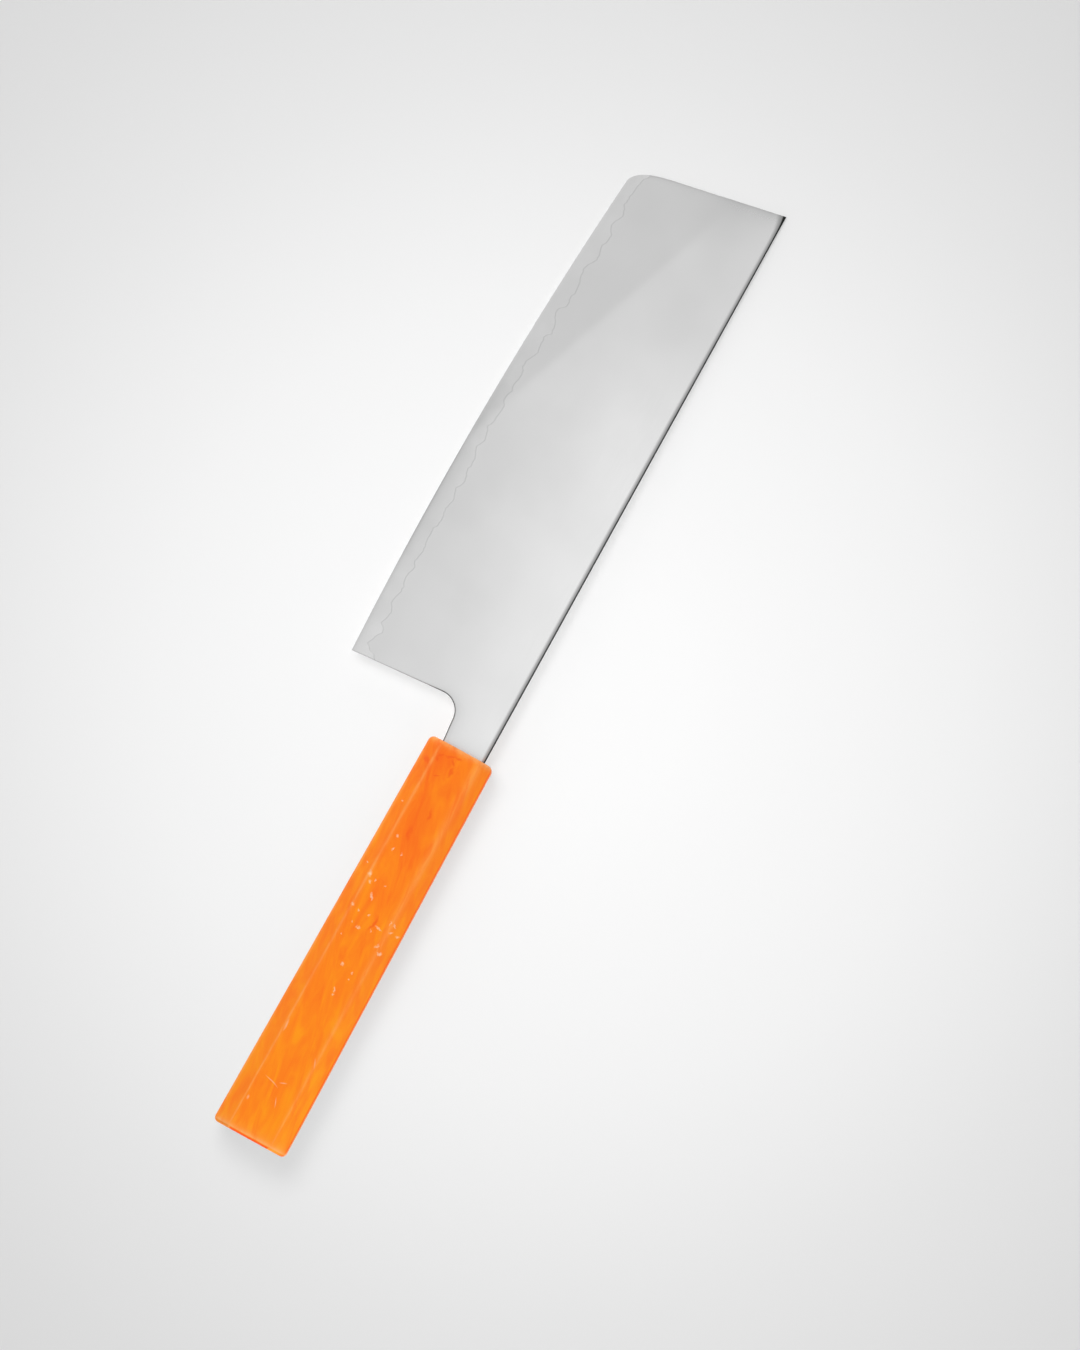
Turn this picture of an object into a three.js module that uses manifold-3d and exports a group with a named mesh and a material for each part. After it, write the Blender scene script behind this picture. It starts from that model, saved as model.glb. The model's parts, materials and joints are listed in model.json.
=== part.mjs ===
// A nakiri, the straight-edged vegetable knife, lying on its side on a table.
// The blade is a three-layer laminate: a hard core between two softer claddings, ground to a wedge, so that the
// core comes out of the claddings along a wavy line above the edge. Its tang runs back into a slot in the
// octagonal handle and is bedded there in adhesive.
// Millimetres. The knife is built in its own frame, where x runs from the handle's front face to the tip, y from
// the handle's axis to the cutting edge, and z out of the blade's upper face. Then it is laid on the table, with
// +Z up and the origin on the table under the middle of the knife.

import * as THREE from "three";
import { mergeVertices } from "three/addons/utils/BufferGeometryUtils.js";
import Module from "manifold-3d";

const { degToRad, lerp } = THREE.MathUtils;

// Blade, seen from the side
const spineLength = 186; // handle's front face to the corner of spine and tip
const spineOffset = 7.4; // handle's axis to spine
const bladeHeight = 51.8; // spine to edge where the belly is deepest
const bellyRadius = 1344; // the cutting edge is one long arc
const bellyFromHandle = 57.8; // handle's front face to the deepest point of the edge
const tipRake = degToRad(11); // the tip's line leans back from square
const tipRoundUp = 11; // the tip's rounding reaches this far up the tip's line
const tipRoundBack = 5; // and this far back along the edge
const heelFromHandle = 10.6; // handle's front face to the heel's corner
const heelRake = degToRad(4.4); // the heel's line leans forward from square
const choilRadius = 6.1; // round between heel and neck
const neckHeight = 14.1; // at the handle's front face
const neckRake = degToRad(5); // the neck's lower line falls away from the spine

// Blade, in section
const spineThickness = 2.2; // at the handle
const tipThickness = 1.7; // at the corner of spine and tip
const edgeThickness = 0.36; // behind the edge, in the section at the handle
const spineRounding = 0.75; // the spine's two arrises are eased
const edgeBevel = degToRad(15); // sharpening angle on each side
const edgeFlat = 0.04; // width left at the very edge

// Laminate
const coreThickness = 0.42;
const claddingLineHeight = 4.8; // mean height of the wavy line above the edge
const claddingLineWaves = [
  { height: 0.26, length: 60, phase: 0.6 },
  { height: 0.2, length: 28, phase: -1.6 },
  { height: 0.26, length: 15, phase: 1.5 },
  { height: 0.3, length: 7.6, phase: -0.9 },
];
const heelHookHeight = 2.6; // the line turns up at the heel by this much
const heelHookReach = 1.8; // and falls back over about this length
const lowerFaceShift = 11; // the lower face's line has its waves this much further along
const claddingLineStep = 1.3; // distance between points on the wavy line
const layerGap = 0.02; // between the core and each cladding

// Tang, inside the handle
const tangLength = 92;
const tangEndHeight = 6;

// Handle: an octagon that tapers from the butt to the front
const handleLength = 131.5;
const buttHeight = 24;
const buttThickness = 20;
const buttChamfer = 4.9; // run of the chamfer facets
const frontHeight = 21.1;
const frontThickness = 17.5;
const frontChamfer = 4;
const arrisRounding = 0.8; // along the eight arrises
const endRounding = 1.3; // around both end faces

// Slot in the handle and its bed of adhesive
const bedThickness = 0.6; // around the tang
const bedAtTangEnd = 3; // beyond the tang's end
const bedGap = 0.1; // between the bed and what it touches

// Fineness of the curves
const arcSegments = 32;
const taperSegments = 12;
const roundingSegments = 4;
const mergeDistance = 1e-4;

const edgeDepth = bladeHeight - spineOffset;
const neckDepth = neckHeight - spineOffset;
const bellyCentre = new THREE.Vector2(bellyFromHandle, edgeDepth - bellyRadius);
const cutRoom = spineThickness; // how far cutting solids reach past what they cut

const wasm = await Module();
wasm.setup();

// A closed solid through rings of points. Each ring lies across x and runs counter-clockwise seen from +x.
function loft(rings) {
  const count = rings[0].length;
  const lastRing = (rings.length - 1) * count;
  const faces = [];
  for (let start = 0; start < lastRing; start += count) {
    for (let j = 0; j < count; j++) {
      const next = (j + 1) % count;
      const far = start + count;
      faces.push(start + j, start + next, far + next);
      faces.push(start + j, far + next, far + j);
    }
  }
  const capOf = (ring) => {
    const outline = ring.map((point) => new THREE.Vector2(point.y, point.z));
    return THREE.ShapeUtils.triangulateShape(outline, []);
  };
  for (const [a, b, c] of capOf(rings[0])) {
    faces.push(c, b, a);
  }
  for (const [a, b, c] of capOf(rings.at(-1))) {
    faces.push(lastRing + a, lastRing + b, lastRing + c);
  }
  const geometry = new THREE.BufferGeometry().setFromPoints(rings.flat());
  geometry.setIndex(faces);
  return geometry;
}

// A flat shape in x and y, made solid from z = low to z = high.
function plate(shape, low, high) {
  const geometry = new THREE.ExtrudeGeometry(shape, {
    depth: high - low,
    bevelEnabled: false,
    curveSegments: arcSegments,
  });
  return geometry.translate(0, 0, low);
}

function solid(geometry) {
  geometry.deleteAttribute("normal");
  geometry.deleteAttribute("uv");
  const merged = mergeVertices(geometry, mergeDistance);
  return new wasm.Manifold(
    new wasm.Mesh({
      numProp: 3,
      vertProperties: merged.attributes.position.array,
      triVerts: Uint32Array.from(merged.index.array),
    }),
  );
}

function namedMesh(name, body, material) {
  const { vertProperties, triVerts } = body.getMesh();
  const geometry = new THREE.BufferGeometry();
  geometry.setAttribute("position", new THREE.BufferAttribute(vertProperties, 3));
  geometry.setIndex(new THREE.BufferAttribute(triVerts, 1));
  geometry.computeVertexNormals();
  const mesh = new THREE.Mesh(geometry, material);
  mesh.name = name;
  return mesh;
}

// Blade outline

function edgePoint(x) {
  const rise = Math.sqrt(bellyRadius ** 2 - (x - bellyCentre.x) ** 2);
  return new THREE.Vector2(x, bellyCentre.y + rise);
}

function edgeAngle(point) {
  return Math.atan2(point.y - bellyCentre.y, point.x - bellyCentre.x);
}

// The tip's line runs from the spine to the edge; its rounding takes off the corner where they would meet.
function tipCorners() {
  const spineCorner = new THREE.Vector2(spineLength, -spineOffset);
  const along = new THREE.Vector2(-Math.sin(tipRake), Math.cos(tipRake));
  const fromCentre = spineCorner.clone().sub(bellyCentre);
  const toMiddle = fromCentre.dot(along);
  const reach = Math.sqrt(toMiddle ** 2 - fromCentre.lengthSq() + bellyRadius ** 2) - toMiddle;
  const corner = spineCorner.clone().addScaledVector(along, reach);
  return {
    spineCorner,
    roundStart: corner.clone().addScaledVector(along, -tipRoundUp),
    corner,
    roundEnd: edgePoint(corner.x - tipRoundBack),
  };
}

// The choil is a round that touches the heel's line and the neck's lower line.
function choilCentre(heel) {
  const neckReach = neckDepth + choilRadius / Math.cos(neckRake);
  const heelReach = heel.x + heel.y * Math.tan(heelRake) - choilRadius / Math.cos(heelRake);
  const slopes = 1 + Math.tan(neckRake) * Math.tan(heelRake);
  const x = (heelReach - neckReach * Math.tan(heelRake)) / slopes;
  return new THREE.Vector2(x, neckReach + x * Math.tan(neckRake));
}

function bladeOutline() {
  const tip = tipCorners();
  const heel = edgePoint(heelFromHandle);
  const choil = choilCentre(heel);
  const shape = new THREE.Shape();
  shape.moveTo(-tangLength, -tangEndHeight / 2);
  shape.lineTo(0, -spineOffset);
  shape.lineTo(tip.spineCorner.x, tip.spineCorner.y);
  shape.lineTo(tip.roundStart.x, tip.roundStart.y);
  shape.quadraticCurveTo(tip.corner.x, tip.corner.y, tip.roundEnd.x, tip.roundEnd.y);
  shape.absarc(bellyCentre.x, bellyCentre.y, bellyRadius, edgeAngle(tip.roundEnd), edgeAngle(heel), false);
  shape.absarc(choil.x, choil.y, choilRadius, heelRake, neckRake - Math.PI / 2, true);
  shape.lineTo(0, neckDepth);
  shape.lineTo(-tangLength, tangEndHeight / 2);
  shape.closePath();
  return shape;
}

// Blade section

function distalTaper(x) {
  return lerp(1, tipThickness / spineThickness, Math.max(x, 0) / spineLength);
}

function flankHeight(x, y) {
  const wedge = lerp(spineThickness, edgeThickness, (y + spineOffset) / bladeHeight);
  return (wedge / 2) * distalTaper(x);
}

// The ground bar: a wedge with an eased spine, as thick along the tang as at the handle, thinner to the tip.
function groundBar() {
  const past = edgeDepth + cutRoom;
  const half = spineThickness / 2;
  const roundCentre = half - spineRounding;
  const section = new THREE.Path();
  section.moveTo(past, -flankHeight(0, past));
  section.lineTo(past, flankHeight(0, past));
  section.absarc(spineRounding - spineOffset, roundCentre, spineRounding, Math.PI / 2, Math.PI, false);
  section.absarc(spineRounding - spineOffset, -roundCentre, spineRounding, Math.PI, Math.PI * 1.5, false);
  const points = section.getPoints(roundingSegments);
  const ringAt = (x) => points.map((point) => new THREE.Vector3(x, point.x, point.y * distalTaper(x)));
  const rings = [ringAt(-tangLength - cutRoom)];
  for (let i = 0; i <= taperSegments; i++) {
    rings.push(ringAt((spineLength * i) / taperSegments));
  }
  return loft(rings);
}

// The sharpening: a wide wedge whose point follows the cutting edge and leaves a narrow flat on it.
function sharpeningWedge() {
  const steps = 2 * arcSegments;
  const start = -tangLength - cutRoom;
  const length = spineLength + cutRoom - start;
  const back = -spineOffset - cutRoom;
  const slope = Math.tan(edgeBevel);
  const rings = [];
  for (let i = 0; i <= steps; i++) {
    const x = start + (length * i) / steps;
    const point = edgePoint(x).y + edgeFlat / 2 / slope;
    const half = (point - back) * slope;
    rings.push([
      new THREE.Vector3(x, back, -half),
      new THREE.Vector3(x, point, 0),
      new THREE.Vector3(x, back, half),
    ]);
  }
  return loft(rings);
}

// Laminate

function claddingLine(x, shift) {
  const fromHeel = Math.max(x - heelFromHandle, 0);
  let height = claddingLineHeight + heelHookHeight * Math.exp(-fromHeel / heelHookReach);
  for (const wave of claddingLineWaves) {
    height += wave.height * Math.sin((2 * Math.PI * (x + shift)) / wave.length + wave.phase);
  }
  return edgePoint(x).y - height;
}

// All that lies on the spine's side of the wavy line, drawn back from it by the given amount.
function claddingOutline(shift, drawnBack) {
  const back = -spineOffset - cutRoom;
  const start = -tangLength - cutRoom;
  const end = spineLength + cutRoom;
  const steps = Math.ceil((end - heelFromHandle) / claddingLineStep) + 1;
  const shape = new THREE.Shape();
  shape.moveTo(start, back);
  shape.lineTo(end, back);
  for (let i = 0; i <= steps; i++) {
    const x = end - i * claddingLineStep;
    shape.lineTo(x, claddingLine(x, shift) - drawnBack);
  }
  shape.lineTo(start, edgeDepth - claddingLineHeight);
  shape.closePath();
  return shape;
}

function bladeLayers() {
  const core = coreThickness / 2;
  const blade = solid(plate(bladeOutline(), -cutRoom, cutRoom))
    .intersect(solid(groundBar()))
    .intersect(solid(sharpeningWedge()));
  const upperCut = solid(plate(claddingOutline(0, 0), core, cutRoom));
  const lowerCut = solid(plate(claddingOutline(lowerFaceShift, 0), -cutRoom, -core));
  const upperShare = solid(plate(claddingOutline(0, layerGap), core + layerGap, cutRoom));
  const lowerShare = solid(plate(claddingOutline(lowerFaceShift, layerGap), -cutRoom, -core - layerGap));
  return {
    core: blade.subtract(upperCut).subtract(lowerCut),
    upper: blade.intersect(upperShare),
    lower: blade.intersect(lowerShare),
  };
}

// Handle and bed

function handleAt(x) {
  const back = -x / handleLength;
  return {
    height: lerp(frontHeight, buttHeight, back),
    thickness: lerp(frontThickness, buttThickness, back),
    chamfer: lerp(frontChamfer, buttChamfer, back),
  };
}

// The octagon at x with every side moved in by inset, and its corners rounded.
function handleRing(x, inset) {
  const { height, thickness, chamfer } = handleAt(x);
  const movedIn = inset + arrisRounding;
  const y = height / 2 - movedIn;
  const z = thickness / 2 - movedIn;
  const cut = chamfer - movedIn * (2 - Math.SQRT2);
  const corners = [
    [y, z - cut],
    [y - cut, z],
    [cut - y, z],
    [-y, z - cut],
    [-y, cut - z],
    [cut - y, -z],
    [y - cut, -z],
    [y, cut - z],
  ];
  const turn = Math.PI / 4;
  return corners.flatMap(([cornerY, cornerZ], k) => {
    const points = [];
    for (let i = 0; i <= roundingSegments; i++) {
      const angle = turn * (k + i / roundingSegments);
      const outY = arrisRounding * Math.cos(angle);
      const outZ = arrisRounding * Math.sin(angle);
      points.push(new THREE.Vector3(x, cornerY + outY, cornerZ + outZ));
    }
    return points;
  });
}

function handleBlock() {
  const butt = [];
  const front = [];
  for (let i = 0; i <= roundingSegments; i++) {
    const angle = (Math.PI / 2) * (i / roundingSegments);
    const depth = endRounding * (1 - Math.cos(angle));
    const inset = endRounding * (1 - Math.sin(angle));
    butt.push(handleRing(depth - handleLength, inset));
    front.unshift(handleRing(-depth, inset));
  }
  return loft([...butt, ...front]);
}

// The tang's tapering box, made larger by the given amount, from x = back to x = front.
function tangBox(larger, back, front) {
  const z = spineThickness / 2 + larger;
  const ringAt = (x) => {
    const along = -x / tangLength;
    const spineSide = lerp(-spineOffset, -tangEndHeight / 2, along) - larger;
    const edgeSide = lerp(neckDepth, tangEndHeight / 2, along) + larger;
    return [
      new THREE.Vector3(x, spineSide, -z),
      new THREE.Vector3(x, edgeSide, -z),
      new THREE.Vector3(x, edgeSide, z),
      new THREE.Vector3(x, spineSide, z),
    ];
  };
  return loft([ringAt(back), ringAt(front)]);
}

function handleSolid() {
  const slot = tangBox(bedThickness, -tangLength - bedAtTangEnd, cutRoom);
  return solid(handleBlock()).subtract(solid(slot));
}

function adhesiveSolid() {
  const filling = tangBox(bedThickness - bedGap, bedGap - tangLength - bedAtTangEnd, 0);
  const tang = tangBox(bedGap, -tangLength - bedGap, cutRoom);
  return solid(filling).subtract(solid(tang));
}

// The knife lies on three points: the lower front arris of its handle and both ends of the tip's line.
function tableContacts() {
  const tip = tipCorners();
  const { height, thickness, chamfer } = handleAt(-endRounding);
  const facetEnd = height / 2 - chamfer - arrisRounding * Math.tan(Math.PI / 8);
  const spineY = tip.spineCorner.y + spineRounding;
  const spineX = tip.spineCorner.x - spineRounding * Math.tan(tipRake);
  const { x: edgeX, y: edgeY } = tip.roundStart;
  return [
    new THREE.Vector3(-endRounding, facetEnd, -thickness / 2),
    new THREE.Vector3(spineX, spineY, -flankHeight(spineX, spineY)),
    new THREE.Vector3(edgeX, edgeY, -flankHeight(edgeX, edgeY)),
  ];
}

function layOnTable(group) {
  const [handle, spine, edge] = tableContacts();
  const up = spine.sub(handle).cross(edge.sub(handle)).normalize();
  group.quaternion.setFromUnitVectors(up, new THREE.Vector3(0, 0, 1));
  const box = new THREE.Box3().setFromObject(group, true);
  const middle = box.getCenter(new THREE.Vector3());
  group.position.set(-middle.x, -middle.y, -box.min.z);
}

const coreSteel = new THREE.MeshStandardMaterial({ color: 0xb4b6b8, roughness: 0.35, metalness: 1 });
const claddingSteel = new THREE.MeshStandardMaterial({ color: 0xc8cacb, roughness: 0.42, metalness: 1 });
const curedAdhesive = new THREE.MeshStandardMaterial({ color: 0xd9cfae, roughness: 0.5, metalness: 0 });
const marbledPlastic = new THREE.MeshStandardMaterial({ color: 0xfa8a28, roughness: 0.45, metalness: 0 });

const layers = bladeLayers();
const knife = new THREE.Group();
knife.add(
  namedMesh("core_steel", layers.core, coreSteel),
  namedMesh("upper_cladding", layers.upper, claddingSteel),
  namedMesh("lower_cladding", layers.lower, claddingSteel.clone()),
  namedMesh("tang_adhesive", adhesiveSolid(), curedAdhesive),
  namedMesh("handle", handleSolid(), marbledPlastic),
);
layOnTable(knife);

const table = new THREE.Group();
table.add(knife);

export default table;
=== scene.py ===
# A nakiri, the straight-edged vegetable knife, lying on its side on a pale table and seen from above.
# Metres. Each new mesh is worked out in the knife's own frame and laid down: x runs from the handle's
# front face to the tip, y from the handle's axis to the cutting edge, z out of the blade's upper face.

import json

import bmesh
import bpy
import numpy as np
from mathutils import Matrix, Vector


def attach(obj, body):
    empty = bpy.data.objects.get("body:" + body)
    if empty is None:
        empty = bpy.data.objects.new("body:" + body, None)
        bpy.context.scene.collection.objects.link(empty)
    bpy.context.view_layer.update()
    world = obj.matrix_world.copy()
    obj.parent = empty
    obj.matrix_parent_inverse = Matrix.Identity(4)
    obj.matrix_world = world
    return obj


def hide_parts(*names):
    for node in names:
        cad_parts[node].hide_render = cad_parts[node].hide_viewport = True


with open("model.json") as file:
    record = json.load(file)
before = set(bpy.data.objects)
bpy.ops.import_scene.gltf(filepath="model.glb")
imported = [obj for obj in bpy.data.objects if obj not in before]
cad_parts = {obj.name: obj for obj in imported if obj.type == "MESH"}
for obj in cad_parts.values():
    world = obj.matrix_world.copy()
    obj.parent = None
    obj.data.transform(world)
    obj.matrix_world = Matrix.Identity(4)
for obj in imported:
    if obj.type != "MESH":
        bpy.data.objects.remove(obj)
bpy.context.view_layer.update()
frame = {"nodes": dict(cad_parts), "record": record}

# How the knife lies: on the front of its handle and on its tip, leaning a little to the tip and the edge.
# The handle's upper and lower facets taper alike, so their normals give the handle's axis and the way up.

face_normals = {mount["name"]: np.array(mount["axis"]) for mount in frame["record"]["mounts"]}


def unit(vector):
    """The vector divided by its own length."""
    return vector / np.linalg.norm(vector)


along = unit(face_normals["upper_facet"] + face_normals["lower_facet"])
outward = unit(face_normals["upper_facet"] - face_normals["lower_facet"])
knife_axes = np.array([along, np.cross(outward, along), outward])
handle_vertices = frame["nodes"]["handle"].data.vertices
handle_points = np.array([vertex.co for vertex in handle_vertices]) @ knife_axes.T
handle_low = handle_points.min(axis=0)
handle_high = handle_points.max(axis=0)
handle_middle = (handle_low + handle_high) / 2
knife_origin = np.array([handle_high[0], handle_middle[1], handle_middle[2]]) @ knife_axes


def laid_down(points):
    """Points in the knife's frame, put where the knife lies: the origin plus x, y and z along the axes."""
    return knife_origin + points @ knife_axes


# Core: the hard middle layer of the blade, carbon steel forge-welded between two softer layers. Grinding
# to a wedge lays it bare along the cutting edge, below a wavy line, and there it is honed to the sharp
# edge. It also shows as the middle line of the spine, and it runs back through the tang.

mm = 0.001
spine_length = 186 * mm
spine_offset = 7.4 * mm
blade_height = 51.8 * mm
belly_radius = 1344 * mm
belly_from_handle = 57.8 * mm
tip_rake = np.radians(11)
tip_round_up = 12 * mm
tip_round_back = 4.7 * mm
heel_from_handle = 10.6 * mm
heel_rake = np.radians(4.4)
choil_radius = 6.1 * mm
neck_height = 14.1 * mm
neck_rake = np.radians(5)
tang_length = 92 * mm
tang_end_height = 6 * mm
spine_thickness = 2.2 * mm
tip_thickness = 1.7 * mm
edge_thickness = 0.36 * mm
spine_rounding = 0.75 * mm
edge_bevel = np.radians(15)
edge_flat = 0.04 * mm
core_thickness = 0.36 * mm
# Crests and troughs of the wavy line by turns: millimetres from the handle's front face and above the edge.
line_turns = np.array([
    (10.6, 8.2), (12.4, 6.6), (13.5, 4.6), (14.9, 3.3), (17.1, 4.1), (19.8, 5.9), (22.3, 4.3),
    (25.8, 5.4), (29.4, 4), (33.3, 5.1), (37.7, 4.4), (40.7, 5.1), (43.2, 4.6), (46.8, 5.1),
    (53.5, 4.6), (56.8, 5.6), (60.9, 5), (64, 5.8), (67.5, 4.8), (70.8, 5.9), (74.1, 5.1),
    (78, 5.3), (81.7, 3.9), (84.7, 5), (89, 3.9), (91, 4.7), (95.4, 4.9), (98.2, 3.9),
    (101.5, 4.5), (103.5, 4.2), (105.9, 4.7), (110.5, 3.6), (115.2, 5.3), (119.9, 4.5),
    (122.3, 5.9), (128.7, 3.6), (131.6, 5.5), (133.5, 5), (136.3, 5.3), (143.7, 3.8), (147.8, 5.5),
    (151.6, 4.7), (154.8, 5.3), (159.4, 3.7), (162.7, 4.8), (166.5, 3.5), (174.4, 3.8), (177, 5),
])
# Ripples on it, in millimetres: height and length, then the length and size of the swing in their phase.
ripple_waves = np.array([
    (0.12, 3.9, 11, 2.4),
    (0.12, 2.3, 6.7, 2),
    (0.06, 1.5, 4.3, 1.6),
])
shift_from_handle = 20 * mm
lower_face_shift = 11 * mm

edge_depth = blade_height - spine_offset
neck_depth = neck_height - spine_offset
belly_centre = np.array([belly_from_handle, edge_depth - belly_radius])


def edge_y(x):
    """The cutting edge: one long arc about the belly's centre."""
    return belly_centre[1] + np.sqrt(belly_radius**2 - (x - belly_centre[0]) ** 2)


def lamination_y(x, shift):
    """The wavy line where the core comes out: a height above the edge that swings smoothly from each crest
    to the next trough, plus ripples whose phase swings to and fro, so that no two are alike."""
    moved = (x + shift * np.clip(x / shift_from_handle - 1, 0, 1)) / mm
    number = np.clip(np.searchsorted(line_turns[:, 0], moved) - 1, 0, len(line_turns) - 2)
    start = line_turns[number]
    span = line_turns[number + 1] - start
    share = np.clip((moved - start[..., 0]) / span[..., 0], 0, 1)
    height = start[..., 1] + span[..., 1] * share**2 * (3 - 2 * share)
    turn = 2 * np.pi * moved
    for ripple_height, ripple_length, swing_length, swing in ripple_waves:
        height = height + ripple_height * np.sin(turn / ripple_length + swing * np.sin(turn / swing_length))
    return edge_y(x) - height * mm


heel_y = edge_y(heel_from_handle)
neck_reach = neck_depth + choil_radius / np.cos(neck_rake)
heel_reach = heel_from_handle + heel_y * np.tan(heel_rake) - choil_radius / np.cos(heel_rake)
choil_x = (heel_reach - neck_reach * np.tan(heel_rake)) / (1 + np.tan(neck_rake) * np.tan(heel_rake))
choil_y = neck_reach + choil_x * np.tan(neck_rake)
seam_x = choil_x + choil_radius


def heel_x(y):
    """The blade's back end: upright down to the choil's side, round the choil, then the leaning heel."""
    round_x = choil_x + np.sqrt(np.maximum(choil_radius**2 - (y - choil_y) ** 2, 0))
    line_x = heel_from_handle + (heel_y - y) * np.tan(heel_rake)
    below = np.where(y < choil_y + choil_radius * np.sin(heel_rake), round_x, line_x)
    return np.where(y < choil_y, seam_x, below)


spine_corner = np.array([spine_length, -spine_offset])
tip_along = np.array([-np.sin(tip_rake), np.cos(tip_rake)])
from_belly = spine_corner - belly_centre
to_middle = from_belly @ tip_along
tip_reach = np.sqrt(to_middle**2 - from_belly @ from_belly + belly_radius**2) - to_middle
tip_corner = spine_corner + tip_reach * tip_along
round_start = tip_corner - tip_round_up * tip_along
round_end_x = tip_corner[0] - tip_round_back
round_end = np.array([round_end_x, edge_y(round_end_x)])
bend_power = 10


def tip_line_x(y):
    """The straight part of the blade's front end, leaning back from the spine's corner."""
    return spine_length - (y + spine_offset) * np.tan(tip_rake)


def tip_x(y):
    """The blade's front end: the straight line from the spine, then a quadratic curve round to the edge,
    whose share t at each height y is the root of the curve's own equation in y."""
    bend = round_start - 2 * tip_corner + round_end
    climb = tip_corner - round_start
    fall = np.maximum(y - round_start[1], 0)
    t = np.minimum(fall / (climb[1] + np.sqrt(np.maximum(climb[1] ** 2 + bend[1] * fall, 0))), 1)
    round_x = round_start[0] + 2 * t * climb[0] + t**2 * bend[0]
    return np.where(y < round_start[1], tip_line_x(y), round_x)


def blade_x(share, y):
    """x at a share of the way from the blade's back end to its front end, at height y; only the columns
    close to the front end bend with its round corner."""
    straight = (1 - share) * heel_x(y) + share * tip_line_x(y)
    return straight + share**bend_power * (tip_x(y) - tip_line_x(y))


halvings = 50


def meeting_y(share, curve):
    """Where each column of the blade meets a curve y(x), found by halving the span that holds it."""
    low = np.full_like(share, choil_y)
    high = np.full_like(share, edge_depth + neck_depth)
    for _ in range(halvings):
        middle = (low + high) / 2
        above = curve(blade_x(share, middle)) > middle
        low = np.where(above, middle, low)
        high = np.where(above, high, middle)
    return (low + high) / 2


def neck_low_y(x, inside):
    """The lower outline of tang, neck and choil, drawn a distance inside: two lines and a round."""
    tang = neck_depth + (tang_end_height / 2 - neck_depth) * (-x / tang_length) - inside
    neck = neck_depth + x * np.tan(neck_rake) - inside / np.cos(neck_rake)
    reach = choil_radius + inside
    choil = choil_y - np.sqrt(np.maximum(reach**2 - (x - choil_x) ** 2, 0))
    return np.where(x < 0, tang, np.where(x < choil_x + reach * np.sin(neck_rake), neck, choil))


# The grid of the blade: columns from tang to tip and rows from the spine down. The neck's columns are
# upright and stop at its lower outline; the blade's lie between heel and tip, down to the wavy line.

rounding_rows = 10
neck_rows_between = 9
heel_rows = 17
straight_columns = 14
choil_columns = 28
long_columns = 560
rounding_turns = np.linspace(0, np.pi / 2, rounding_rows)
border_steps = np.array([0.6, 0.3, 0.18, 0.1, 0.04, 0]) * mm
shoulder_steps = np.array([0.2, 0.45, 0.8, 1.3, 2]) * mm
neck_shares = np.linspace(0, 1, neck_rows_between)[1:-1]
neck_columns = np.concatenate([
    np.linspace(-tang_length, 0, straight_columns)[:-1],
    np.linspace(0, choil_x, straight_columns)[:-1],
    choil_x + choil_radius * np.sin(np.linspace(0, np.pi / 2, choil_columns)),
])
border_shares = np.array([0, 0.04, 0.1, 0.18, 0.3, 0.5, 0.8]) * mm / spine_length
blade_columns = np.concatenate([
    border_shares,
    np.linspace(border_shares[-1], 1 - border_shares[-1], long_columns)[1:-1],
    1 - border_shares[::-1],
])


def neck_rows(x):
    """y of the neck's rows: round the spine, down its shoulder, evenly on, then close along the outline."""
    spine = -spine_offset + (spine_offset - tang_end_height / 2) * np.maximum(-x, 0) / tang_length
    rounding = spine[:, None] + spine_rounding * (1 - np.cos(rounding_turns))
    shoulder = rounding[:, -1:] + shoulder_steps
    border = neck_low_y(x[:, None], border_steps)
    middle = shoulder[:, -1:] + (border[:, :1] - shoulder[:, -1:]) * neck_shares
    return np.concatenate([rounding, shoulder, middle, border], axis=1)


def blade_rows(share, low):
    """y of the blade's rows: the neck's rows go on, stretched to the wavy line, with more below them."""
    start = neck_rows(np.array([seam_x]))[0]
    heel = start[-1] + (low[0] - start[-1]) * np.linspace(0, 1, heel_rows)[1:]
    levels = np.concatenate([start, heel])
    held = len(rounding_turns) + len(shoulder_steps)
    top = levels[held - 1]
    shares = (levels[held:] - top) / (low[0] - top)
    rows = top + (low[:, None] - top) * shares
    return np.concatenate([np.tile(levels[:held], (len(share), 1)), rows], axis=1)


def blade_plan(shift, drawn_back):
    """x, y of the grid from spine to wavy line, and which of its points the blade has."""
    neck_y = neck_rows(neck_columns[:-1])
    low = meeting_y(blade_columns, lambda x: lamination_y(x, shift)) - drawn_back
    blade_y = blade_rows(blade_columns, low)
    missing = blade_y.shape[1] - neck_y.shape[1]
    neck_y = np.concatenate([neck_y, np.repeat(neck_y[:, -1:], missing, axis=1)], axis=1)
    neck_x = np.repeat(neck_columns[:-1, None], neck_y.shape[1], axis=1)
    x = np.concatenate([neck_x, blade_x(blade_columns[:, None], blade_y)])
    y = np.concatenate([neck_y, blade_y])
    has_point = np.ones(x.shape, bool)
    has_point[: len(neck_x), -missing:] = False
    return x, y, has_point


def half_thickness(x, y):
    """Half the ground bar's thickness: straight from spine to edge, thinner in proportion to the tip."""
    taper = 1 + (tip_thickness / spine_thickness - 1) * np.maximum(x, 0) / spine_length
    full = spine_offset - spine_rounding + edge_depth
    fall = (y + spine_offset - spine_rounding) / full
    return taper * (spine_thickness + (edge_thickness - spine_thickness) * fall) / 2


def honed_half(x, y):
    """Half the thickness that the honing leaves: the edge's narrow flat plus the bevel's rise above it."""
    return edge_flat / 2 + (edge_y(x) - y) * np.tan(edge_bevel)


corner_angle = np.radians(12.5)


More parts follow.
